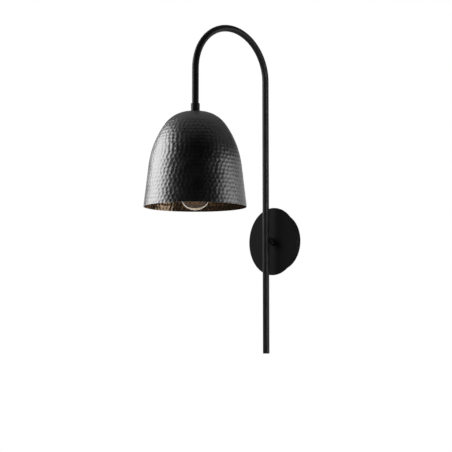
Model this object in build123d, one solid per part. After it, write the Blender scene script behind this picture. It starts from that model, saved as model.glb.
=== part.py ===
from build123d import *
import os
from math import cos, degrees, radians, sin, sqrt, atan2

# Arched wall lamp with a bell shade. The origin is the middle of the wall plate on the wall plane.
# X runs along the wall, -Y points out from the wall and Z is up. Sizes are in millimetres.

# Arm: one bent tube, a straight stem, a half-circle arch and a short leg over the shade
tube_diameter = 13.5
tube_wall = 1.6
stem_offset = 41.5          # wall to the stem's axis
stem_drop = 231.0           # plate centre down to the stem's lower end
arch_radius = 96.5          # to the tube's centre line
arch_level = 333.0          # plate centre up to where the arch begins
plug_head = 2.0
plug_spigot = 12.0
plug_clearance = 0.05

# Shade: a tapered wall, a shoulder arc and a crown arc that ends in a flat seat
rim_level = 58.0            # plate centre up to the rim
rim_diameter = 202.0
shade_height = 188.0
shade_sheet = 1.2
wall_taper = 6.7            # degrees from upright
shoulder_radius = 178.0
crown_radius = 60.0
crown_seat_diameter = 22.0

# Collar between the leg and the shade
collar_diameter = 17.6
collar_height = 17.0
collar_socket = 7.0         # how far the leg enters the collar
collar_chamfer = 0.6

# Threaded tube that clamps the plate, the shade and the lampholder
thread_diameter = 10.0
thread_bore = 7.0
thread_clearance = 0.1      # radial
nut_across_flats = 14.0
nut_thickness = 4.0
washer_thickness = 1.2
washer_diameter = 20.0
shade_washer_margin = 0.5   # inside the edge of the shade's flat seat
thread_tail = 2.0           # thread left standing past a nut
rod_in_leg = 12.0           # length of the shade rod inside the leg

# Wall plate: a flat front disc on a shallow drum that stands on the wall
disc_diameter = 140.0
disc_thickness = 3.0
disc_edge = 0.9
drum_diameter = 118.0
drum_depth = 20.0
drum_sheet = 1.2
drum_corner = 2.5

# Boss and spacer between the plate and the stem
boss_diameter = 16.0
boss_back = 8.0             # tube surface to the back face of the boss
boss_wrap = 2.8             # how far the saddle reaches round the tube
boss_chamfer = 0.8
saddle_gap = 0.1            # brazing gap
spacer_diameter = 13.0
thread_in_boss = 6.0
lead_hole_diameter = 8.0    # in the stem wall, behind the boss

# Wall bracket: a strap with two tabs bent forward for the drum's screws
bracket_sheet = 2.0
bracket_width = 34.0
bracket_margin = 0.8        # strap and tabs to the inside of the drum
tab_width = 16.0
tab_length = 13.0
supply_hole_diameter = 22.0
slot_spacing = 72.0
slot_length = 14.0
slot_width = 5.0

# Small screws: drum, earth and terminal block
screw_diameter = 4.0
screw_head_diameter = 7.0
screw_head_height = 2.4
screw_hole_clearance = 0.2
screw_level = 8.0           # drum screws, from the wall
earth_height = 20.0         # earth screw above the plate centre
tag_thickness = 0.8
tag_diameter = 9.0
tag_tail = 9.0

# Terminal block on the strap
pole_pitch = 10.0
pole_count = 3
block_height = 14.0
block_depth = 10.5
block_top = -13.5           # upper edge, from the plate centre
block_edge = 0.8
insert_diameter = 4.4
insert_bore = 2.6
insert_margin = 1.0
pole_screw_diameter = 3.0
pole_screw_length = 4.6
pole_screw_offset = 3.6
pole_slot_depth = 0.8
pole_slot_width = 0.6
block_screw_diameter = 2.6
block_screw_head = 4.2
block_screw_seat = 4.0

# Lead: a round flex through the arm, and its bare cores at both ends
flex_diameter = 4.0
flex_inset = 1.3            # towards the inner side of the arch
flex_sag = 1.0              # below the plate centre inside the threaded tube
flex_turn = 14.0            # bend from the threaded tube into the stem
flex_past_end = 1.0
core_diameter = 1.6
core_bend = 1.6

# Screw-base bulb
bulb_diameter = 60.0
bulb_length = 108.0
bulb_drop = 6.0             # tip below the rim
glass_wall = 0.8
neck_diameter = 24.8
neck_flare = 45.0           # radius from the neck into the globe
neck_in_cap = 6.0
cap_length = 26.0           # contact tip to the cap's lower edge
cap_diameter = 26.2
cap_sheet = 0.5
cap_neck_clearance = 0.1
tip_diameter = 9.0
tip_height = 2.0
insulator_height = 4.0
insulator_seat = 1.2
mount_flare_height = 14.0
mount_rod_diameter = 6.0
mount_rod_length = 12.0
post_diameter = 3.0
filament_count = 4
filament_diameter = 2.0
filament_length = 32.0
filament_circle = 20.0
support_wire = 0.8
support_hub = 5.0
support_hub_height = 1.6

# Lampholder
contact_gap = 0.3           # bulb tip to the centre contact
contact_bump = 1.2
contact_sheet = 0.8
contact_width = 6.0
contact_length = 16.0
sleeve_clearance = 0.3      # bulb cap to the threaded sleeve, radial
sleeve_sheet = 0.5
sleeve_flange = 1.8
holder_diameter = 38.0
holder_mouth_diameter = 29.2
holder_mouth_height = 6.5
holder_mouth_drop = 28.0    # bulb tip contact down to the mouth
holder_bore = 33.0
holder_fit = 0.1            # radial, between the holder's moulded pieces
holder_edge = 0.8
insert_height = 13.0
holder_joint = 4.0          # body's rim above the insert's lower face
holder_spigot = 5.0
holder_spigot_wall = 1.1
cap_dome = 12.0             # height of the holder cap's dome
cap_neck_diameter = 16.0
cap_neck_height = 5.0
cap_roof = 2.0
cap_ledge = 1.5
terminal_circle = 18.0
terminal_screw_diameter = 3.0
terminal_head_diameter = 5.5
terminal_head_height = 2.0
terminal_screw_length = 5.0

# Worked-out places
tube_radius = tube_diameter / 2
tube_bore = tube_radius - tube_wall
reach = stem_offset + 2 * arch_radius
crown_level = rim_level + shade_height
leg_end = crown_level + collar_height - collar_socket
plate_face = drum_depth + disc_thickness
drum_bore = drum_diameter / 2 - drum_sheet
boss_back_face = stem_offset - tube_radius - boss_back
thread_hole = thread_diameter / 2 + thread_clearance
canopy_thread_end = drum_depth - drum_sheet - washer_thickness - nut_thickness - thread_tail
contact_level = rim_level - bulb_drop + bulb_length
insert_level = contact_level + contact_gap + contact_bump + contact_sheet
insert_top = insert_level + insert_height
holder_mouth = contact_level - holder_mouth_drop
holder_rim = insert_level + holder_joint
cap_ledge_level = insert_top + holder_fit
cap_top = cap_ledge_level + cap_dome + cap_neck_height
rod_end = cap_ledge_level + cap_dome - cap_roof
block_middle = bracket_sheet + block_depth / 2

BASE = (Align.CENTER, Align.CENTER, Align.MIN)
OUT = Rot(90, 0, 0)              # local X, Y, Z become X, Z and outwards from the wall
HANG = Pos(0, -reach, 0)         # the shade's axis


def rod(radius, low, high):
    return Pos(0, 0, low) * Cylinder(radius, high - low, align=BASE)


def tube(outer, inner, low, high):
    return rod(outer, low, high) - rod(inner, low - 1, high + 1)


def turned(*edges):
    """Solid of revolution about Z from a closed outline in radius and height."""
    return revolve(Plane.XZ * make_face(list(edges)), Axis.Z)


def turned_points(*points):
    return turned(Polyline(*points, close=True))


def wire_along(points, diameter, bends):
    """Round wire through points, with a tangent arc of its own radius at each corner."""
    path = FilletPolyline(*points, radius=bends)
    section = Plane(path @ 0, z_dir=path % 0) * Circle(diameter / 2)
    return sweep(section, path)


def hex_nut(low):
    nut = extrude(RegularPolygon(nut_across_flats / 2, 6, major_radius=False), nut_thickness)
    crown = turned_points(
        (0, 0),
        (nut_across_flats / 2, 0),
        (nut_across_flats / 2 / cos(radians(30)), nut_thickness * 0.15),
        (nut_across_flats / 2 / cos(radians(30)), nut_thickness * 0.85),
        (nut_across_flats / 2, nut_thickness),
        (0, nut_thickness),
    )
    return Pos(0, 0, low) * ((nut & crown) - rod(thread_hole, -1, nut_thickness + 1))


def pan_screw(shank, shank_length, head, head_height, slot=0.8):
    """Slotted pan-head screw, with its head's seat at zero and its shank below."""
    body = rod(head / 2, 0, head_height)
    body = fillet(body.edges().group_by(Axis.Z)[-1], head_height * 0.4)
    body += rod(shank / 2, -shank_length, 0)
    return body - Pos(0, 0, head_height) * Box(head + 1, slot, head_height * 0.7)


def arm_path(inset=0.0, low=-stem_drop + plug_head, end=leg_end):
    """Centre line of the stem, arch and leg, moved towards the inner side of the arch by inset."""
    span = arch_radius - inset
    stem = Line((0, -stem_offset - inset, low), (0, -stem_offset - inset, arch_level))
    crest = (0, -stem_offset - arch_radius, arch_level + span)
    arch = ThreePointArc(stem @ 1, crest, (0, -reach + inset, arch_level))
    leg = Line(arch @ 1, (0, -reach + inset, end))
    return Wire([stem, arch, leg])


def build_arm_tube():
    path = arm_path()
    start = Plane(path @ 0, z_dir=path % 0)
    arm = sweep(start * Circle(tube_radius), path) - sweep(start * Circle(tube_bore), path)
    lead_hole = OUT * rod(lead_hole_diameter / 2, boss_back_face, stem_offset)
    return arm - lead_hole


def build_stem_end_plug():
    head = rod(tube_radius, -stem_drop, -stem_drop + plug_head)
    head = chamfer(head.edges().group_by(Axis.Z)[0], plug_head * 0.2)
    spigot = rod(tube_bore - plug_clearance, -stem_drop + plug_head, -stem_drop + plug_head + plug_spigot)
    spigot = chamfer(spigot.edges().group_by(Axis.Z)[-1], tube_wall * 0.6)
    return Pos(0, -stem_offset, 0) * (head + spigot)


def build_stem_boss():
    end = stem_offset - tube_radius + boss_wrap
    boss = rod(boss_diameter / 2, boss_back_face, end)
    boss = chamfer(boss.edges().group_by(Axis.Z)[0], boss_chamfer)
    saddle = Pos(0, 0, stem_offset) * Rot(90, 0, 0) * Cylinder(tube_radius + saddle_gap, boss_diameter * 2)
    return OUT * (boss - saddle - rod(thread_hole, boss_back_face - 1, end + 1))


def build_spacer_sleeve():
    return OUT * tube(spacer_diameter / 2, thread_hole, plate_face, boss_back_face)


def build_canopy_nipple():
    return OUT * tube(thread_diameter / 2, thread_bore / 2, canopy_thread_end, boss_back_face + thread_in_boss)


def build_canopy_nut():
    return OUT * hex_nut(canopy_thread_end + thread_tail)


def build_canopy_washer():
    top = drum_depth - drum_sheet
    return OUT * tube(washer_diameter / 2, thread_hole, top - washer_thickness, top)


def build_canopy_disc():
    disc = rod(disc_diameter / 2, drum_depth, plate_face)
    disc = fillet(disc.edges(), disc_edge)
    return OUT * (disc - rod(thread_hole, drum_depth - 1, plate_face + 1))


def side_screw_places():
    """Places on the drum's top and bottom whose Z axis points away from the drum's middle."""
    return [Pos(0, side * drum_diameter / 2, screw_level) * Rot(-side * 90, 0, 0) for side in (1, -1)]


def build_canopy_drum():
    cup = rod(drum_diameter / 2, 0, drum_depth)
    cup = fillet(cup.edges().group_by(Axis.Z)[-1], drum_corner)
    hollow = rod(drum_bore, -1, drum_depth - drum_sheet)
    cup -= fillet(hollow.edges().group_by(Axis.Z)[-1], drum_corner - drum_sheet)
    cup -= rod(thread_hole, 0, drum_depth + 1)
    hole = Cylinder(screw_diameter / 2 + screw_hole_clearance, screw_head_diameter * 2)
    for place in side_screw_places():
        cup -= place * hole
    return OUT * cup


def tab_face():
    """Distance from the plate centre to the outer face of the bracket's tabs."""
    return sqrt(drum_bore ** 2 - (tab_width / 2) ** 2) - bracket_margin


def build_canopy_screws():
    length = drum_diameter / 2 - tab_face() + bracket_sheet + thread_tail
    screw = pan_screw(screw_diameter, length, screw_head_diameter, screw_head_height)
    return Compound([OUT * place * screw for place in side_screw_places()])


def build_wall_bracket():
    strap = Box(bracket_width, 2 * tab_face(), bracket_sheet, align=BASE)
    strap &= rod(drum_bore - bracket_margin, 0, bracket_sheet)
    for side in (1, -1):
        tab = Box(tab_width, bracket_sheet, tab_length, align=BASE)
        tab = fillet(tab.edges().filter_by(Axis.Y).group_by(Axis.Z)[-1], bracket_sheet)
        strap += Pos(0, side * (tab_face() - bracket_sheet / 2), 0) * tab
        slot = extrude(SlotOverall(slot_length, slot_width, rotation=90), bracket_sheet * 4, both=True)
        strap -= Pos(0, side * slot_spacing / 2, 0) * slot
    tapped = screw_diameter / 2 + thread_clearance
    for place in side_screw_places():
        strap -= place * rod(tapped, -drum_diameter / 2 + tab_face() - bracket_sheet * 3, 0)
    strap -= rod(supply_hole_diameter / 2, -1, bracket_sheet + 1)
    strap -= Pos(0, earth_height, 0) * rod(tapped, -1, bracket_sheet + 1)
    for x in block_screw_columns():
        place = Pos(x, block_top - block_height / 2, 0)
        strap -= place * rod(block_screw_diameter / 2 + thread_clearance, -1, bracket_sheet + 1)
    return OUT * strap


def build_earth_screw():
    seat = bracket_sheet + tag_thickness
    screw = pan_screw(screw_diameter, seat, screw_head_diameter, screw_head_height)
    return OUT * Pos(0, earth_height, seat) * screw


def build_earth_tag():
    ring = rod(tag_diameter / 2, bracket_sheet, bracket_sheet + tag_thickness)
    tail = Box(tag_tail, core_diameter * 2, tag_thickness, align=(Align.MIN, Align.CENTER, Align.MIN))
    tag = ring + Pos(0, 0, bracket_sheet) * tail
    tag -= rod(screw_diameter / 2 + screw_hole_clearance, 0, bracket_sheet * 3)
    return OUT * Pos(0, earth_height, 0) * tag


def pole_columns():
    return [(i - (pole_count - 1) / 2) * pole_pitch for i in range(pole_count)]


def block_screw_columns():
    """The block's own fixing screws stand between the poles."""
    return [(i - (pole_count - 2) / 2) * pole_pitch for i in range(pole_count - 1)]


def pole_screw_places():
    middle = block_top - block_height / 2
    top = bracket_sheet + block_depth
    return [Pos(x, middle + end * pole_screw_offset, top) for x in pole_columns() for end in (1, -1)]


def build_terminal_block():
    middle = block_top - block_height / 2
    block = Pos(0, middle, bracket_sheet) * Box(pole_count * pole_pitch, block_height, block_depth, align=BASE)
    block = fillet(block.edges().filter_by(Axis.Y).group_by(Axis.Z)[-1], block_edge)
    for x in pole_columns():
        wire_way = Rot(90, 0, 0) * Cylinder(insert_diameter / 2 + thread_clearance, block_height + 2)
        block -= Pos(x, middle, block_middle) * wire_way
    screw_way = rod(pole_screw_diameter / 2 + thread_clearance, -block_depth / 2, 1)
    for place in pole_screw_places():
        block -= place * screw_way
    for x in block_screw_columns():
        place = Pos(x, middle, 0)
        block -= place * rod(block_screw_diameter / 2 + thread_clearance, 0, block_depth * 2)
        block -= place * rod(block_screw_head / 2 + thread_clearance, bracket_sheet + block_screw_seat, block_depth * 2)
    return OUT * block


def build_terminal_inserts():
    length = block_height - 2 * insert_margin
    sleeve = tube(insert_diameter / 2, insert_bore / 2, -length / 2, length / 2)
    middle = block_top - block_height / 2
    inserts = []
    for x in pole_columns():
        insert = Pos(x, middle, block_middle) * Rot(90, 0, 0) * sleeve
        for place in pole_screw_places():
            insert -= place * rod(pole_screw_diameter / 2 + thread_clearance, -block_depth / 2, 0)
        inserts.append(OUT * insert)
    return Compound(inserts)


def build_terminal_screws():
    screw = rod(pole_screw_diameter / 2, -pole_screw_length, 0)
    screw -= Box(pole_screw_diameter + 1, pole_slot_width, pole_slot_depth * 2)
    return Compound([OUT * place * screw for place in pole_screw_places()])


def build_block_screws():
    seat = bracket_sheet + block_screw_seat
    screw = pan_screw(block_screw_diameter, seat, block_screw_head, block_screw_head * 0.4, pole_slot_width)
    middle = block_top - block_height / 2
    return Compound([OUT * Pos(x, middle, seat) * screw for x in block_screw_columns()])


def build_lamp_flex():
    """Round flex from behind the plate, up the stem, over the arch and down to the lampholder."""
    turn_y = -stem_offset - flex_inset + flex_turn
    run = Line((0, -canopy_thread_end + flex_past_end, -flex_sag), (0, turn_y, -flex_sag))
    turn = JernArc(start=(turn_y, -flex_sag), tangent=(-1, 0), radius=flex_turn, arc_size=-90)
    turn = Plane.YZ * turn
    arm = arm_path(flex_inset, flex_turn - flex_sag, rod_end - flex_past_end)
    path = Wire([run, turn, *arm.edges()])
    section = Plane(path @ 0, z_dir=path % 0) * Circle(flex_diameter / 2)
    return sweep(section, path)


def core_pair(side):
    """One core's two free ends: plate to terminal block, and flex to the lampholder's terminal."""
    radius = core_diameter / 2
    start_x = side * (radius + thread_clearance)
    pole_x = side * pole_pitch if side < 0 else 0.0
    entry = block_top - insert_margin - radius
    plate_start = -canopy_thread_end + flex_past_end
    plate_points = [
        (start_x, plate_start, -flex_sag),
        (start_x, plate_start + 1.5 * core_diameter, -flex_sag),
        (pole_x, -block_middle + core_diameter, entry + 4 * core_diameter),
        (pole_x, -block_middle, entry + 2 * core_diameter),
        (pole_x, -block_middle, entry),
    ]
    plate_end = wire_along(plate_points, core_diameter, core_bend)
    head_edge = terminal_circle / 2 - terminal_head_diameter / 2
    flex_end = rod_end - flex_past_end
    clamp_level = insert_top + radius + thread_clearance
    holder_points = [
        (start_x, flex_inset, flex_end),
        (start_x, flex_inset, flex_end - 2 * core_diameter),
        (side * (head_edge - core_diameter), 0, clamp_level),
        (side * head_edge, 0, clamp_level),
    ]
    holder_end = HANG * wire_along(holder_points, core_diameter, core_bend * 0.5)
    return Compound([plate_end, holder_end])


def build_earth_core():
    pole_x = pole_pitch
    entry = block_top - insert_margin - core_diameter / 2
    lay = bracket_sheet + tag_thickness + core_diameter / 2
    bow = supply_hole_diameter / 2 + 2 * core_diameter
    points = [
        (pole_x, -block_middle, entry),
        (pole_x, -block_middle, entry + 3 * core_diameter),
        (bow, -lay - core_diameter, 0),
        (bow, -lay, earth_height - 2 * core_diameter),
        (tag_tail - core_diameter, -lay, earth_height),
        (tag_diameter / 2, -lay, earth_height),
    ]
    return wire_along(points, core_diameter, core_bend)


def shade_arcs():
    """Centres of the shoulder and crown arcs, and the angle where they meet.

    The shoulder arc is tangent to the tapered wall, and the crown arc touches it from inside.
    """
    a = radians(wall_taper)
    wall = Vector(-sin(a), cos(a))
    inward = Vector(-cos(a), -sin(a))
    crown = Vector(crown_seat_diameter / 2, crown_level - crown_radius)
    start = Vector(rim_diameter / 2, rim_level) + inward * shoulder_radius - crown
    along = start.dot(wall)
    reach_squared = (shoulder_radius - crown_radius) ** 2
    wall_length = -along - sqrt(along ** 2 - start.dot(start) + reach_squared)
    shoulder = crown + start + wall * wall_length
    meet = crown - shoulder
    return shoulder, crown, degrees(atan2(meet.Y, meet.X))


def shade_line(inset):
    """Outline from the rim to the crown's hole, moved into the sheet by inset."""
    shoulder, crown, meet = shade_arcs()
    upper = CenterArc(crown, crown_radius - inset, meet, 90 - meet)
    side = CenterArc(shoulder, shoulder_radius - inset, wall_taper, meet - wall_taper)
    foot = (rim_diameter / 2 - inset / cos(radians(wall_taper)), rim_level)
    return [Line(foot, side @ 0), side, upper, Line(upper @ 1, (thread_hole, crown_level - inset))]


def build_shade_shell():
    outside = shade_line(0)
    inside = shade_line(shade_sheet)
    rim = Line(inside[0] @ 0, outside[0] @ 0)
    hole = Line(outside[-1] @ 1, inside[-1] @ 1)
    return HANG * turned(rim, *outside, hole, *inside)


def build_shade_collar():
    top = crown_level + collar_height
    collar = rod(collar_diameter / 2, crown_level, top)
    collar = chamfer(collar.edges().group_by(Axis.Z)[-1], collar_chamfer)
    collar -= rod(thread_hole, crown_level - 1, top + 1)
    return HANG * (collar - rod(tube_radius + thread_clearance, leg_end, top + 1))


def build_shade_rod():
    return HANG * tube(thread_diameter / 2, thread_bore / 2, rod_end, leg_end + rod_in_leg)


def build_shade_washer():
    top = crown_level - shade_sheet
    radius = crown_seat_diameter / 2 - shade_washer_margin
    return HANG * tube(radius, thread_hole, top - washer_thickness, top)


def build_rod_nuts():
    under_shade = crown_level - shade_sheet - washer_thickness - nut_thickness
    return Compound([HANG * hex_nut(level) for level in (under_shade, cap_top)])


def build_holder_cap():
    outer = holder_diameter / 2
    neck = cap_neck_diameter / 2
    socket = holder_bore / 2 + holder_spigot_wall + holder_fit
    shoulder = cap_ledge_level
    dome_top = shoulder + cap_dome
    dome = ThreePointArc(
        (outer, shoulder),
        (neck + (outer - neck) * 0.72, shoulder + cap_dome * 0.66),
        (neck, dome_top),
    )
    shell = turned(
        Polyline((0, holder_rim), (outer, holder_rim), (outer, shoulder)),
        dome,
        Polyline((neck, dome_top), (neck, cap_top), (0, cap_top), (0, holder_rim)),
    )
    roof = dome_top - cap_roof
    ledge = holder_bore / 2 - cap_ledge
    hollow = turned_points((0, shoulder), (ledge, shoulder), (neck - cap_roof, roof), (0, roof))
    shell -= hollow
    shell -= rod(holder_bore / 2, holder_rim - 1, shoulder)
    shell -= rod(socket, holder_rim - 1, holder_rim + holder_spigot + holder_fit)
    return HANG * (shell - rod(thread_hole, roof - 1, cap_top + 1))


def build_holder_body():
    outer = holder_diameter / 2
    bore = holder_bore / 2
    spigot = bore + holder_spigot_wall
    mouth = holder_mouth_diameter / 2
    lip = holder_mouth + holder_mouth_height
    body = turned_points(
        (mouth, holder_mouth),
        (outer, holder_mouth),
        (outer, holder_rim),
        (spigot, holder_rim),
        (spigot, holder_rim + holder_spigot),
        (bore, holder_rim + holder_spigot),
        (bore, lip),
        (mouth, lip),
    )
    return HANG * fillet(body.edges().group_by(Axis.Z)[0], holder_edge)


def terminal_places():
    return [Pos(side * terminal_circle / 2, 0, insert_top) for side in (1, -1)]


def build_holder_insert():
    insert = rod(holder_bore / 2 - holder_fit, insert_level, insert_top)
    insert = chamfer(insert.edges().group_by(Axis.Z)[-1], holder_edge / 2)
    for place in terminal_places():
        insert -= place * rod(terminal_screw_diameter / 2 + holder_fit, -terminal_screw_length - 1, 1)
    return HANG * insert


def build_holder_sleeve():
    """Threaded sleeve that takes the bulb's cap, hung by its flange under the insert."""
    inner = cap_diameter / 2 + sleeve_clearance
    low = holder_mouth + holder_mouth_height + holder_fit
    sleeve = tube(inner + sleeve_sheet, inner, low, insert_level)
    return HANG * (sleeve + tube(inner + sleeve_flange, inner, insert_level - sleeve_sheet, insert_level))


def build_centre_contact():
    strip = Pos(0, 0, insert_level - contact_sheet) * Box(contact_length, contact_width, contact_sheet, align=BASE)
    seat = insert_level - contact_sheet
    bump = turned_points(
        (0, seat),
        (contact_width / 2, seat),
        (contact_width / 4, seat - contact_bump),
        (0, seat - contact_bump),
    )
    return HANG * (strip + bump)


def build_holder_screws():
    screw = pan_screw(terminal_screw_diameter, terminal_screw_length, terminal_head_diameter, terminal_head_height)
    return Compound([HANG * place * screw for place in terminal_places()])


def build_bulb_contact():
    radius = tip_diameter / 2
    base = contact_level - tip_height
    dome = (radius ** 2 + tip_height ** 2) / (2 * tip_height)
    edge = degrees(atan2(dome - tip_height, radius))
    crown = CenterArc((0, contact_level - dome), dome, edge, 90 - edge)
    return HANG * turned(crown, Polyline(crown @ 1, (0, base), crown @ 0))


def build_bulb_cap_insulator():
    base = contact_level - tip_height
    low = base - insulator_height
    rim = cap_diameter / 2 - cap_sheet - cap_neck_clearance
    return HANG * turned_points(
        (0, base),
        (tip_diameter / 2 + cap_sheet, base),
        (rim - insulator_seat, low),
        (rim, low),
        (rim, low - insulator_seat),
        (0, low - insulator_seat),
    )


def build_bulb_cap():
    outer = cap_diameter / 2
    low = contact_level - cap_length
    high = contact_level - tip_height - insulator_height
    shell = tube(outer, outer - cap_sheet, low, high + cap_sheet)
    lip = tube(outer, outer - cap_sheet - insulator_seat, high, high + cap_sheet)
    shell += lip
    return HANG * chamfer(shell.edges().group_by(Axis.Z)[-1].sort_by(SortBy.RADIUS)[-1], cap_sheet * 0.6)


def glass_line(inset):
    """Outline from the tip over the globe and the concave flare to the end of the neck."""
    globe = bulb_diameter / 2
    neck = neck_diameter / 2
    centre = rim_level - bulb_drop + globe
    rise = sqrt((globe + neck_flare) ** 2 - (neck + neck_flare) ** 2)
    angle = degrees(atan2(rise, neck + neck_flare))
    belly = CenterArc((0, centre), globe - inset, -90, 90 + angle)
    flare = CenterArc((neck + neck_flare, centre + rise), neck_flare + inset, 180 + angle, -angle)
    top = contact_level - cap_length + neck_in_cap
    return [belly, flare, Line(flare @ 1, (neck - inset, top))]


def build_bulb_glass():
    outside = glass_line(0)
    inside = glass_line(glass_wall)
    tip = Line(inside[0] @ 0, outside[0] @ 0)
    mouth = Line(outside[-1] @ 1, inside[-1] @ 1)
    return HANG * turned(tip, *outside, mouth, *inside)


def post_bottom():
    return filament_levels()[0] - support_hub_height


def filament_levels():
    centre = rim_level - bulb_drop + bulb_diameter / 2
    return centre + post_diameter, centre + post_diameter + filament_length


def build_bulb_mount():
    """Glass mount: a flare sealed into the neck, a pinched rod and a thin post for the filaments."""
    top = contact_level - cap_length + neck_in_cap
    seal = neck_diameter / 2 - glass_wall - cap_neck_clearance
    narrow = mount_rod_diameter / 2
    waist = top - mount_flare_height
    curve = ThreePointArc((seal, top), (narrow + (seal - narrow) * 0.3, top - mount_flare_height * 0.5), (narrow, waist))
    rod_bottom = waist - mount_rod_length
    mount = turned(
        curve,
        Polyline(
            (narrow, waist),
            (narrow, rod_bottom),
            (post_diameter / 2, rod_bottom),
            (post_diameter / 2, post_bottom()),
            (0, post_bottom()),
            (0, top),
            (seal, top),
        ),
    )
    return HANG * mount


def build_bulb_supports():
    """Two wire spiders, one at each end of the filaments, on hubs round the glass post and rod."""
    arm_end = filament_circle / 2 - filament_diameter / 2
    spiders = []
    for level, post in zip(filament_levels(), (post_diameter, mount_rod_diameter)):
        hub = tube(post / 2 + (support_hub - post_diameter) / 2, post / 2 + cap_neck_clearance, level, level + support_hub_height)
        arm = Rot(0, 90, 0) * Cylinder(support_wire / 2, arm_end - post / 2 - support_wire, align=BASE)
        arm = Pos(post / 2 + support_wire, 0, level + support_hub_height / 2) * arm
        for k in range(filament_count):
            hub += Rot(0, 0, 360 * k / filament_count) * arm
        spiders.append(HANG * hub)
    return Compound(spiders)


def build_bulb_filaments():
    low, high = filament_levels()
    stick = Pos(filament_circle / 2, 0, 0) * rod(filament_diameter / 2, low, high + support_hub_height)
    stick = fillet(stick.edges(), filament_diameter * 0.3)
    return Compound([HANG * Rot(0, 0, 360 * k / filament_count) * stick for k in range(filament_count)])


PARTS = {
    "wall_bracket": build_wall_bracket,
    "canopy_drum": build_canopy_drum,
    "canopy_disc": build_canopy_disc,
    "canopy_screws": build_canopy_screws,
    "canopy_nipple": build_canopy_nipple,
    "canopy_nut": build_canopy_nut,
    "canopy_washer": build_canopy_washer,
    "earth_screw": build_earth_screw,
    "earth_tag": build_earth_tag,
    "earth_core": build_earth_core,
    "terminal_block": build_terminal_block,
    "terminal_inserts": build_terminal_inserts,
    "terminal_screws": build_terminal_screws,
    "block_screws": build_block_screws,
    "spacer_sleeve": build_spacer_sleeve,
    "stem_boss": build_stem_boss,
    "arm_tube": build_arm_tube,
    "stem_end_plug": build_stem_end_plug,
    "lamp_flex": build_lamp_flex,
    "live_core": lambda: core_pair(-1),
    "neutral_core": lambda: core_pair(1),
    "shade_collar": build_shade_collar,
    "shade_shell": build_shade_shell,
    "shade_rod": build_shade_rod,
    "shade_washer": build_shade_washer,
    "rod_nuts": build_rod_nuts,
    "holder_cap": build_holder_cap,
    "holder_body": build_holder_body,
    "holder_insert": build_holder_insert,
    "holder_sleeve": build_holder_sleeve,
    "holder_screws": build_holder_screws,
    "centre_contact": build_centre_contact,
    "bulb_contact": build_bulb_contact,
    "bulb_cap_insulator": build_bulb_cap_insulator,
    "bulb_cap": build_bulb_cap,
    "bulb_glass": build_bulb_glass,
    "bulb_mount": build_bulb_mount,
    "bulb_supports": build_bulb_supports,
    "bulb_filaments": build_bulb_filaments,
}

os.makedirs("parts", exist_ok=True)
for name, build in PARTS.items():
    export_step(build(), f"parts/{name}.step")
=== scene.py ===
import random
from math import atan2, cos, hypot, pi, radians, sin, sqrt, tau

import bmesh
import bpy
from mathutils import Matrix, Vector
from mathutils.kdtree import KDTree


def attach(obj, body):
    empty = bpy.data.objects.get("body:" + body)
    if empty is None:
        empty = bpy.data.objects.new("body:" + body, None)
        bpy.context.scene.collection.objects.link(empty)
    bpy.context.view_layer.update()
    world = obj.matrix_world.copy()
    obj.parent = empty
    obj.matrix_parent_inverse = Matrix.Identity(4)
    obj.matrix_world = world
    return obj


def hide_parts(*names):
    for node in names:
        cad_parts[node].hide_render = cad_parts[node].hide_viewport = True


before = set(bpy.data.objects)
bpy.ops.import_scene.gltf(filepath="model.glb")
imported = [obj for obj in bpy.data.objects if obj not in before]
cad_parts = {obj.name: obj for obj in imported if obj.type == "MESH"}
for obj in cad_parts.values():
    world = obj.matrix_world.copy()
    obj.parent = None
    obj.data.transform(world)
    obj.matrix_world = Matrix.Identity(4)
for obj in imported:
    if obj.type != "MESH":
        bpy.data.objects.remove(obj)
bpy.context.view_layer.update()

# Places and sizes of the lamp, in metres
MM = 0.001
REACH = 234.5 * MM              # wall to the shade's axis
RIM_LEVEL = 58 * MM
RIM_RADIUS = 101 * MM
SHEET = 1.2 * MM                # thickness of the shade
CROWN_LEVEL = 246 * MM
CROWN_RADIUS = 60 * MM
CROWN_SEAT = 11 * MM            # radius of the flat under the collar
SHOULDER_RADIUS = 178 * MM
WALL_TAPER = radians(6.7)
ROD_HOLE = 5.1 * MM

HANG = Matrix.Translation((0, -REACH, 0))       # on the shade's axis
OUT = Matrix.Rotation(radians(90), 4, "X")      # straight out from the wall
WELD = 0.001 * MM               # points closer than this become one

# Hammer blows, in rows from the rim up
FIRST_ROW = 2.5 * MM            # from the rim, along the outline
ROW_STEP = 7.9 * MM
BLOW_PITCH = 9.0 * MM           # along a row
SMOOTH_RADIUS = 15 * MM         # no blows inside it, round the collar
DENT_RADIUS = 5.1 * MM
DENT_DEPTH = (0.44, 0.60)       # least and most, in mm
ROW_SHIFT = 0.3                 # uneven start of a row, in pitches
BLOW_SHIFT = 0.13               # uneven spacing along a row, in pitches
LEVEL_SHIFT = 0.9               # uneven level in a row, in mm
NEAR_BLOWS = 4                  # blows that can reach one point
BLOW_SEED = 11

# Threads
RUN_OUT = 0.8                   # length over which a thread fades at each end, in pitches
CAP_PITCH = 3.63 * MM           # bulb's cap, and the sleeve that takes it
CAP_STEPS = 80                  # along their walls
CAP_SIDES = 96                  # round them

# Finishes
COLOUR_DRIFT = (0.35, 0.65)     # part of the clouds over which the colour changes
GLOSS_DRIFT = (0.3, 0.7)        # and the gloss
CLOUD_DETAIL = 4
GRAIN_DETAIL = 2
GRAIN_STRENGTH = 0.5

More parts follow.
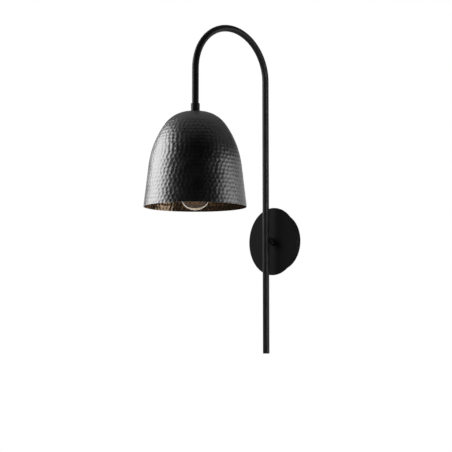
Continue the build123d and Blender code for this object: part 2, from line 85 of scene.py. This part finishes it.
# Studio: directions in the frame, spans as cosines of the angle to them, angles in degrees
OVERHEAD = (-0.35, 0.32, 0.88)
OVERHEAD_SPAN = (0.5, 1)
UP = (0, 0, 1)
UNDER_SPAN = (-0.03, -0.13)     # from just under level down
BEHIND = (-0.72, 0.66, -0.2)    # past the lamp, low down, as the camera looks
BEHIND_SPAN = (0.78, 0.88)
LEAST_SHOWN = 0.25              # how plain the backdrop stays past a reflection
CAMERA_SIDE = -42.3             # from X round to the camera
SHADE_AIM = Vector((0, -0.16, 0.12))
STEM_AIM = Vector((0, -0.03, 0.1))

# Camera
CAMERA_PLACE = (1.6238, -1.6284, -0.1548)
CAMERA_TILT = radians(94.69)
CAMERA_TURN = radians(47.74)
SENSOR_WIDTH = 36
FOCAL_PIXELS = 1100
PICTURE_PIXELS = 452


# Drawing and turning

class Outline:
    """A line in the XZ plane, radius along X, that is turned about Z."""

    def __init__(self, radius, height):
        self.shape = bmesh.new()
        self.first = self.last = self.shape.verts.new((radius, 0, height))

    def line(self, radius, height, steps=1):
        start = self.last.co.copy()
        for k in range(1, steps + 1):
            self.last = bmesh.ops.extrude_vert_indiv(self.shape, verts=[self.last])["verts"][0]
            self.last.co = start.lerp(Vector((radius, 0, height)), k / steps)

    def arc(self, radius, height, turn, steps):
        """Round the point given; a positive turn rises on the outer side."""
        made = bmesh.ops.spin(
            self.shape, geom=[self.last], cent=(radius, 0, height), axis=(0, -1, 0),
            angle=turn, steps=steps,
        )
        self.last = next(v for v in made["geom_last"] if isinstance(v, bmesh.types.BMVert))

    def turned(self, steps, sectors=1):
        """Closes the line and turns it. A long line is turned through one sector, which is copied round."""
        shape = self.shape
        shape.edges.new((self.last, self.first))
        bmesh.ops.spin(
            shape, geom=shape.verts[:] + shape.edges[:], cent=(0, 0, 0), axis=(0, 0, 1),
            angle=tau / sectors, steps=steps // sectors, use_merge=sectors == 1,
        )
        sector = shape.verts[:] + shape.edges[:] + shape.faces[:]
        for k in range(1, sectors):
            copy = bmesh.ops.duplicate(shape, geom=sector)["geom"]
            verts = [v for v in copy if isinstance(v, bmesh.types.BMVert)]
            around = Matrix.Rotation(tau * k / sectors, 3, "Z")
            bmesh.ops.rotate(shape, verts=verts, cent=(0, 0, 0), matrix=around)
        bmesh.ops.remove_doubles(shape, verts=shape.verts, dist=WELD)
        bmesh.ops.recalc_face_normals(shape, faces=shape.faces)
        return shape


def piece(name, shape, place, materials, nodes, body="fixture", sharp=35):
    """Makes the finished object and sets it in the frame in place of its nodes."""
    bmesh.ops.transform(shape, matrix=place, verts=shape.verts)
    for face in shape.faces:
        face.smooth = True
    for edge in shape.edges:
        edge.smooth = edge.calc_face_angle(0) < radians(sharp)
    mesh = bpy.data.meshes.new(name)
    shape.to_mesh(mesh)
    shape.free()
    for material in materials:
        mesh.materials.append(material)
    made = bpy.data.objects.new(name, mesh)
    bpy.context.scene.collection.objects.link(made)
    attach(made, body)
    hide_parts(*nodes)


# Finishes

def ramp(tree, value, start, end, low, high):
    """Carries a value between start and end over to low and high, and holds it outside them."""
    node = tree.nodes.new("ShaderNodeMapRange")
    for socket, number in zip(("From Min", "From Max", "To Min", "To Max"), (start, end, low, high)):
        node.inputs[socket].default_value = number
    tree.links.new(value, node.inputs["Value"])
    return node.outputs["Result"]


def finish(name, dark, pale, rough, grain, grain_depth, cloud=40, **sockets):
    """A surface whose colour and gloss drift in clouds, with a fine grain whose depth is in mm."""
    material = bpy.data.materials.new(name)
    material.use_nodes = True
    tree = material.node_tree
    nodes = tree.nodes
    link = tree.links.new
    shader = nodes["Principled BSDF"]
    for socket, value in sockets.items():
        shader.inputs[socket.replace("_", " ")].default_value = value
    place = nodes.new("ShaderNodeTexCoord").outputs["Object"]
    clouds = nodes.new("ShaderNodeTexNoise")
    clouds.inputs["Scale"].default_value = cloud
    clouds.inputs["Detail"].default_value = CLOUD_DETAIL
    link(place, clouds.inputs["Vector"])
    tone = nodes.new("ShaderNodeValToRGB")
    for end, position, colour in zip(tone.color_ramp.elements, COLOUR_DRIFT, (dark, pale)):
        end.position = position
        end.color = (*colour, 1)
    link(clouds.outputs["Fac"], tone.inputs["Fac"])
    link(tone.outputs["Color"], shader.inputs["Base Color"])
    link(ramp(tree, clouds.outputs["Fac"], *GLOSS_DRIFT, *rough), shader.inputs["Roughness"])
    grains = nodes.new("ShaderNodeTexNoise")
    grains.inputs["Scale"].default_value = grain
    grains.inputs["Detail"].default_value = GRAIN_DETAIL
    link(place, grains.inputs["Vector"])
    relief = nodes.new("ShaderNodeBump")
    relief.inputs["Strength"].default_value = GRAIN_STRENGTH
    relief.inputs["Distance"].default_value = grain_depth * MM
    link(grains.outputs["Fac"], relief.inputs["Height"])
    link(relief.outputs["Normal"], shader.inputs["Normal"])
    return material


matt_black = finish("matt_black", (0.0135, 0.0135, 0.0141), (0.018, 0.018, 0.0186),
                    rough=(0.66, 0.74), grain=1400, grain_depth=0.05, Specular_IOR_Level=0.15)
satin_black = finish("satin_black", (0.032, 0.032, 0.0326), (0.040, 0.040, 0.0406),
                     rough=(0.35, 0.39), grain=1400, grain_depth=0.005, Specular_IOR_Level=0.34)
dark_hammered = finish("dark_hammered", (0.27, 0.27, 0.27), (0.33, 0.33, 0.33),
                       rough=(0.34, 0.40), grain=700, grain_depth=0.01, Metallic=1)
copper_inside = finish("copper_inside", (0.29, 0.199, 0.12), (0.485, 0.353, 0.24),
                       rough=(0.12, 0.18), grain=700, grain_depth=0.01, cloud=260, Metallic=0.78)
clear_glass = finish("clear_glass", (1, 0.88, 0.72), (0.98, 0.86, 0.70),
                     rough=(0.0, 0.01), grain=60, grain_depth=0.002, Transmission_Weight=1, IOR=1.47)
mount_glass = finish("mount_glass", (0.93, 0.96, 0.94), (0.88, 0.93, 0.90),
                     rough=(0.02, 0.06), grain=300, grain_depth=0.01, Transmission_Weight=1, IOR=1.5)
zinc = finish("zinc", (0.50, 0.51, 0.53), (0.64, 0.64, 0.63),
              rough=(0.30, 0.42), grain=1200, grain_depth=0.02, Metallic=1)
brass = finish("brass", (0.62, 0.43, 0.17), (0.74, 0.54, 0.25),
               rough=(0.24, 0.34), grain=1200, grain_depth=0.01, Metallic=1)
tinned = finish("tinned", (0.60, 0.58, 0.55), (0.72, 0.70, 0.67),
                rough=(0.28, 0.38), grain=1500, grain_depth=0.02, Metallic=1)
nickel = finish("nickel", (0.62, 0.60, 0.56), (0.72, 0.70, 0.66),
                rough=(0.18, 0.28), grain=1200, grain_depth=0.01, Metallic=1)
solder = finish("solder", (0.46, 0.46, 0.47), (0.58, 0.58, 0.58),
                rough=(0.25, 0.45), grain=900, grain_depth=0.08, cloud=300, Metallic=1)
black_zinc = finish("black_zinc", (0.03, 0.03, 0.033), (0.05, 0.05, 0.054),
                    rough=(0.34, 0.46), grain=1500, grain_depth=0.02, Metallic=0.8)
nylon = finish("nylon", (0.74, 0.73, 0.69), (0.80, 0.79, 0.75),
               rough=(0.40, 0.52), grain=1100, grain_depth=0.02, cloud=120)
black_moulding = finish("black_moulding", (0.010, 0.008, 0.007), (0.020, 0.016, 0.014),
                        rough=(0.22, 0.32), grain=500, grain_depth=0.02, cloud=90)
ceramic = finish("ceramic", (0.72, 0.69, 0.62), (0.80, 0.78, 0.72),
                 rough=(0.22, 0.36), grain=800, grain_depth=0.03, cloud=200)
black_glass = finish("black_glass", (0.008, 0.008, 0.010), (0.016, 0.014, 0.018),
                     rough=(0.06, 0.14), grain=400, grain_depth=0.02, cloud=150)
phosphor = finish("phosphor", (0.80, 0.50, 0.07), (0.88, 0.60, 0.12),
                  rough=(0.45, 0.60), grain=2200, grain_depth=0.06, cloud=500)
black_pvc = finish("black_pvc", (0.012, 0.012, 0.012), (0.022, 0.022, 0.022),
                   rough=(0.42, 0.55), grain=1400, grain_depth=0.02, cloud=160)
brown_pvc = finish("brown_pvc", (0.11, 0.045, 0.018), (0.15, 0.065, 0.028),
                   rough=(0.38, 0.5), grain=1400, grain_depth=0.02, cloud=160)
blue_pvc = finish("blue_pvc", (0.02, 0.09, 0.36), (0.035, 0.13, 0.46),
                  rough=(0.38, 0.5), grain=1400, grain_depth=0.02, cloud=160)
earth_pvc = finish("earth_pvc", (0.05, 0.26, 0.05), (0.72, 0.60, 0.06),
                   rough=(0.38, 0.5), grain=1400, grain_depth=0.02, cloud=260)

NODE_FINISHES = {
    matt_black: ["canopy_drum", "canopy_disc"],
    satin_black: ["spacer_sleeve", "stem_boss", "arm_tube", "stem_end_plug", "shade_collar"],
    black_zinc: ["canopy_screws"],
    zinc: ["wall_bracket", "canopy_nipple", "canopy_nut", "canopy_washer", "earth_screw", "block_screws",
           "shade_rod", "shade_washer", "rod_nuts"],
    tinned: ["earth_tag"],
    brass: ["terminal_inserts", "terminal_screws", "holder_screws", "centre_contact", "holder_sleeve"],
    nylon: ["terminal_block"],
    earth_pvc: ["earth_core"],
    brown_pvc: ["live_core"],
    blue_pvc: ["neutral_core"],
    black_pvc: ["lamp_flex"],
    black_moulding: ["holder_cap", "holder_body"],
    ceramic: ["holder_insert"],
    solder: ["bulb_contact"],
    black_glass: ["bulb_cap_insulator"],
    nickel: ["bulb_cap", "bulb_supports"],
    clear_glass: ["bulb_glass"],
    mount_glass: ["bulb_mount"],
    phosphor: ["bulb_filaments"],
    dark_hammered: ["shade_shell"],
}
for material, names in NODE_FINISHES.items():
    for name in names:
        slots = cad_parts[name].data.materials
        slots.clear()
        slots.append(material)


# Hammered shade: a thin bell struck all over with a round-faced hammer

def shade_arcs():
    """Centres of the shoulder and crown arcs, length of the straight wall, and angle where the arcs meet."""
    along = Vector((-sin(WALL_TAPER), cos(WALL_TAPER)))
    inward = Vector((-cos(WALL_TAPER), -sin(WALL_TAPER)))
    crown = Vector((CROWN_SEAT, CROWN_LEVEL - CROWN_RADIUS))
    start = Vector((RIM_RADIUS, RIM_LEVEL)) + inward * SHOULDER_RADIUS - crown
    climb = start.dot(along)
    wall = -climb - sqrt(climb ** 2 - start.length_squared + (SHOULDER_RADIUS - CROWN_RADIUS) ** 2)
    shoulder = crown + start + along * wall
    meet = atan2(crown.y - shoulder.y, crown.x - shoulder.x)
    return shoulder, crown, wall, meet


SHOULDER, CROWN, WALL, MEET = shade_arcs()


def shade_point(run):
    """Radius and height on the outer face, at a distance from the rim along the outline."""
    if run < WALL:
        return RIM_RADIUS - run * sin(WALL_TAPER), RIM_LEVEL + run * cos(WALL_TAPER)
    angle = WALL_TAPER + (run - WALL) / SHOULDER_RADIUS
    centre, radius = SHOULDER, SHOULDER_RADIUS
    if angle > MEET:
        angle = MEET + (angle - MEET) * SHOULDER_RADIUS / CROWN_RADIUS
        centre, radius = CROWN, CROWN_RADIUS
    return centre.x + radius * cos(angle), centre.y + radius * sin(angle)


def shade_lean(radius, height):
    """Angle above level that the sheet faces, and the depth under its outer face."""
    side, up = radius - SHOULDER.x, height - SHOULDER.y
    lean = atan2(up, side)
    if lean < WALL_TAPER:
        return WALL_TAPER, SHOULDER_RADIUS - (side * cos(WALL_TAPER) + up * sin(WALL_TAPER))
    if lean < MEET:
        return lean, SHOULDER_RADIUS - hypot(side, up)
    if radius < CROWN_SEAT:
        return pi / 2, CROWN_LEVEL - height
    side, up = radius - CROWN.x, height - CROWN.y
    return atan2(up, side), CROWN_RADIUS - hypot(side, up)


def hammer_blows():
    """Middle and depth of each blow. Rows are set off by about half a step and never quite even."""
    chance = random.Random(BLOW_SEED)
    run = FIRST_ROW
    row = 0
    blows = []
    while True:
        radius = shade_point(run)[0]
        if radius < SMOOTH_RADIUS:
            break
        count = round(tau * radius / BLOW_PITCH)
        shift = 0.5 * (row % 2) + chance.uniform(-ROW_SHIFT, ROW_SHIFT)
        for k in range(count):
            turn = tau * (k + shift + chance.uniform(-BLOW_SHIFT, BLOW_SHIFT)) / count
            r, z = shade_point(run + chance.uniform(-LEVEL_SHIFT, LEVEL_SHIFT) * MM)
            blows.append(((r * cos(turn), r * sin(turn), z), chance.uniform(*DENT_DEPTH) * MM))
        run += ROW_STEP
        row += 1
    return blows


def strike(shape):
    """Presses the sheet in, square to its face, under the blows that reach each point."""
    blows = hammer_blows()
    nearest = KDTree(len(blows))
    for k, blow in enumerate(blows):
        nearest.insert(blow[0], k)
    nearest.balance()
    for vert in shape.verts:
        radius = hypot(vert.co.x, vert.co.y)
        lean, inset = shade_lean(radius, vert.co.z)
        out = Vector((vert.co.x / radius * cos(lean), vert.co.y / radius * cos(lean), sin(lean)))
        dent = 0
        for _, k, away in nearest.find_n(vert.co + out * inset, NEAR_BLOWS):
            dent += blows[k][1] * max(0, 1 - (away / DENT_RADIUS) ** 2) ** 2
        vert.co -= out * dent


def make_shade(steps=432, sectors=12, fine=1.72 * MM, coarse=2.6 * MM):
    """Fine is the step along the outer face, which takes the blows, and coarse along the inner one."""
    shoulder_turn = MEET - WALL_TAPER
    shoulder_run = shoulder_turn * SHOULDER_RADIUS
    crown_turn = pi / 2 - MEET
    crown_run = crown_turn * CROWN_RADIUS
    line = Outline(RIM_RADIUS, RIM_LEVEL)
    line.line(*shade_point(WALL), round(WALL / fine))
    line.arc(*SHOULDER, shoulder_turn, round(shoulder_run / fine))
    line.arc(*CROWN, crown_turn, round(crown_run / fine))
    line.line(ROD_HOLE, CROWN_LEVEL, 2)
    line.line(ROD_HOLE, CROWN_LEVEL - SHEET)
    line.line(CROWN_SEAT, CROWN_LEVEL - SHEET, 2)
    line.arc(*CROWN, -crown_turn, round(crown_run / coarse))
    line.arc(*SHOULDER, -shoulder_turn, round(shoulder_run / coarse))
    line.line(RIM_RADIUS - SHEET / cos(WALL_TAPER), RIM_LEVEL, round(WALL / coarse))
    shape = line.turned(steps, sectors)
    strike(shape)
    inside = 0.9 * SHEET
    for face in shape.faces:
        middle = face.calc_center_median()
        face.material_index = int(shade_lean(hypot(middle.x, middle.y), middle.z)[1] > inside)
    piece("shade", shape, HANG, [dark_hammered, copper_inside], ["shade_shell"])


make_shade()


# Threads

def draw_in(shape, least, low, high, pitch, groove):
    """Pulls a turned face in along a right-hand helix, from the least radius out and between two levels.
    Groove gives the depth over one pitch."""
    for vert in shape.verts:
        radius = hypot(vert.co.x, vert.co.y)
        ends = min(vert.co.z - low, high - vert.co.z) / (RUN_OUT * pitch)
        if radius < least or ends <= 0:
            continue
        phase = (vert.co.z / pitch - atan2(vert.co.y, vert.co.x) / tau) % 1
        scale = 1 - groove(phase) * min(1, ends) / radius
        vert.co.x *= scale
        vert.co.y *= scale


def rolled(depth):
    """Round crests and roots, as rolled into sheet."""
    return lambda phase: depth * (0.5 - 0.5 * cos(tau * phase))


def cut(depth):
    """Straight flanks between narrow flats, as cut by a die."""
    peak = 1.1                  # where the flanks would meet, in depths
    slope = 2.4                 # depths per pitch
    return lambda phase: depth * min(1, max(0, peak - slope * abs(phase - 0.5)))


def make_threaded_tube(name, place, low, high):
    radius = 5 * MM
    bore = 3.5 * MM
    bevel = 0.5 * MM
    pitch = 1 * MM
    groove = 0.55 * MM
    step = pitch / 6
    sides = 40
    outer_face = radius - 0.01 * MM
    line = Outline(bore, low)
    line.line(radius - bevel, low)
    line.line(radius, low + bevel)
    line.line(radius, high - bevel, round((high - low - 2 * bevel) / step))
    line.line(radius - bevel, high)
    line.line(bore, high)
    shape = line.turned(sides)
    draw_in(shape, outer_face, low + bevel, high - bevel, pitch, cut(groove))
    piece(name + "_visual", shape, place, [zinc], [name])


def make_bulb_cap():
    radius = 13.1 * MM
    sheet = 0.5 * MM
    corner = 0.6 * sheet
    hole = 11.4 * MM
    low = 134 * MM
    top = 154.5 * MM
    thread_low = 140.2 * MM
    thread_high = 153.6 * MM
    groove = 0.95 * MM
    both_faces = radius - 1.1 * sheet
    line = Outline(radius - sheet, low)
    line.line(radius, low)
    line.line(radius, top - corner, CAP_STEPS)
    line.line(radius - corner, top)
    line.line(hole, top)
    line.line(hole, top - sheet)
    line.line(radius - sheet, top - sheet)
    line.line(radius - sheet, low, CAP_STEPS)
    shape = line.turned(CAP_SIDES)
    draw_in(shape, both_faces, thread_low, thread_high, CAP_PITCH, rolled(groove))
    piece("bulb_cap_visual", shape, HANG, [nickel], ["bulb_cap"], "bulb")


def make_holder_sleeve():
    radius = 13.4 * MM
    sheet = 0.5 * MM
    flange = 1.8 * MM
    low = 138.6 * MM
    high = 162.3 * MM
    thread_low = low + 0.5 * MM
    thread_high = high - 1.2 * MM
    groove = 0.25 * MM
    line = Outline(radius, low)
    line.line(radius + sheet, low)
    line.line(radius + sheet, high - sheet, CAP_STEPS)
    line.line(radius + flange, high - sheet)
    line.line(radius + flange, high)
    line.line(radius, high)
    line.line(radius, low, CAP_STEPS)
    shape = line.turned(CAP_SIDES)
    draw_in(shape, 0, thread_low, thread_high, CAP_PITCH, rolled(groove))
    piece("holder_sleeve_visual", shape, HANG, [brass], ["holder_sleeve"])


make_threaded_tube("shade_rod", HANG, low=185.4 * MM, high=268 * MM)
make_threaded_tube("canopy_nipple", OUT, low=11.6 * MM, high=32.75 * MM)
make_bulb_cap()
make_holder_sleeve()


# Floor, light and camera

def worked(tree, operation, first, second):
    """What a Math node makes of two values, each a number or the output of another node."""
    node = tree.nodes.new("ShaderNodeMath")
    node.operation = operation
    for socket, value in zip(node.inputs, (first, second)):
        if isinstance(value, (int, float)):
            socket.default_value = value
        else:
            tree.links.new(value, socket)
    return node.outputs["Value"]


def shown_plain(tree):
    """One for a ray from the camera, straight or through clear glass, and less past a reflection."""
    path = tree.nodes.new("ShaderNodeLightPath").outputs
    straight = worked(tree, "SUBTRACT", 1, path["Glossy Depth"])
    shown = worked(tree, "MAXIMUM", straight, LEAST_SHOWN)
    through_glass = worked(tree, "MULTIPLY", path["Is Transmission Ray"], shown)
    return worked(tree, "MAXIMUM", through_glass, path["Is Camera Ray"])


def make_world(low, high, below, behind):
    """White to the camera. For the light it is a dim room, paler overhead, under the horizon, and low down
    behind the lamp, where the backdrop stands."""
    world = bpy.data.worlds.new("studio")
    bpy.context.scene.world = world
    world.use_nodes = True
    tree = world.node_tree
    nodes = tree.nodes
    link = tree.links.new
    place = nodes.new("ShaderNodeTexCoord").outputs["Generated"]

    def toward(direction):
        node = nodes.new("ShaderNodeVectorMath")
        node.operation = "DOT_PRODUCT"
        node.inputs[1].default_value = direction
        link(place, node.inputs[0])
        return node.outputs["Value"]

    ceiling = ramp(tree, toward(OVERHEAD), *OVERHEAD_SPAN, low, high)
    ground = ramp(tree, toward(UP), *UNDER_SPAN, 0, below)
    backdrop = ramp(tree, toward(BEHIND), *BEHIND_SPAN, 0, behind)
    level = worked(tree, "ADD", worked(tree, "ADD", ceiling, ground), backdrop)
    room = nodes["Background"]
    room.inputs["Color"].default_value = (1, 1, 1, 1)
    link(level, room.inputs["Strength"])
    white = nodes.new("ShaderNodeBackground")
    white.inputs["Color"].default_value = (1, 1, 1, 1)
    white.inputs["Strength"].default_value = 1
    mix = nodes.new("ShaderNodeMixShader")
    link(shown_plain(tree), mix.inputs["Fac"])
    link(room.outputs["Background"], mix.inputs[1])
    link(white.outputs["Background"], mix.inputs[2])
    link(mix.outputs["Shader"], nodes["World Output"].inputs["Surface"])


def make_floor(level, half, glow):
    """A pale floor that gives a little light, and is white to the camera."""
    shape = bmesh.new()
    place = Matrix.Translation((0, 0, level))
    bmesh.ops.create_grid(shape, x_segments=1, y_segments=1, size=half, matrix=place)
    mesh = bpy.data.meshes.new("floor")
    shape.to_mesh(mesh)
    shape.free()
    floor = bpy.data.objects.new("floor", mesh)
    bpy.context.scene.collection.objects.link(floor)
    paper = bpy.data.materials.new("floor_paper")
    paper.use_nodes = True
    tree = paper.node_tree
    nodes = tree.nodes
    link = tree.links.new
    matt = nodes["Principled BSDF"]
    matt.inputs["Base Color"].default_value = (0.5, 0.5, 0.5, 1)
    matt.inputs["Roughness"].default_value = 0.9
    matt.inputs["Emission Color"].default_value = (1, 1, 1, 1)
    matt.inputs["Emission Strength"].default_value = glow
    white = nodes.new("ShaderNodeEmission")
    mix = nodes.new("ShaderNodeMixShader")
    link(shown_plain(tree), mix.inputs["Fac"])
    link(matt.outputs["BSDF"], mix.inputs[1])
    link(white.outputs["Emission"], mix.inputs[2])
    link(mix.outputs["Shader"], nodes["Material Output"].inputs["Surface"])
    mesh.materials.append(paper)


def soft_box(name, turn, rise, distance, width, height, power, aim=SHADE_AIM, spread=180):
    """A lamp round the point that it is aimed at: turn is from the camera's side to the left, rise is
    above level, and spread is the angle of its beam, all in degrees."""
    side = radians(CAMERA_SIDE - turn)
    level = radians(rise)
    place = aim + distance * Vector((cos(side) * cos(level), sin(side) * cos(level), sin(level)))
    lamp = bpy.data.lights.new(name, "AREA")
    lamp.shape = "RECTANGLE"
    lamp.size = width
    lamp.size_y = height
    lamp.energy = power
    lamp.spread = radians(spread)
    made = bpy.data.objects.new(name, lamp)
    bpy.context.scene.collection.objects.link(made)
    made.location = place
    made.rotation_euler = (aim - place).to_track_quat("-Z", "Y").to_euler()
    made.visible_camera = False


make_world(low=0.001, high=0.2, below=0.02, behind=0.95)
make_floor(level=-1.65, half=5, glow=0.12)
soft_box("left_box", turn=101.5, rise=20.5, distance=1.6, width=1.6, height=1.1, power=15.4)
soft_box("right_box", turn=-84, rise=-2, distance=1.6, width=1.3, height=1.15, power=4.8)
soft_box("back_box", turn=-130, rise=-2, distance=1.6, width=1.3, height=1.15, power=2)
soft_box("stem_box", turn=-34, rise=2, distance=0.5, width=0.07, height=0.8, power=0.04,
         aim=STEM_AIM, spread=22)

lens = bpy.data.cameras.new("camera")
lens.sensor_width = SENSOR_WIDTH
lens.lens = SENSOR_WIDTH * FOCAL_PIXELS / PICTURE_PIXELS
camera = bpy.data.objects.new("camera", lens)
bpy.context.scene.collection.objects.link(camera)
camera.location = CAMERA_PLACE
camera.rotation_euler = (CAMERA_TILT, 0, CAMERA_TURN)
bpy.context.scene.camera = camera
bpy.context.scene.view_settings.view_transform = "Standard"
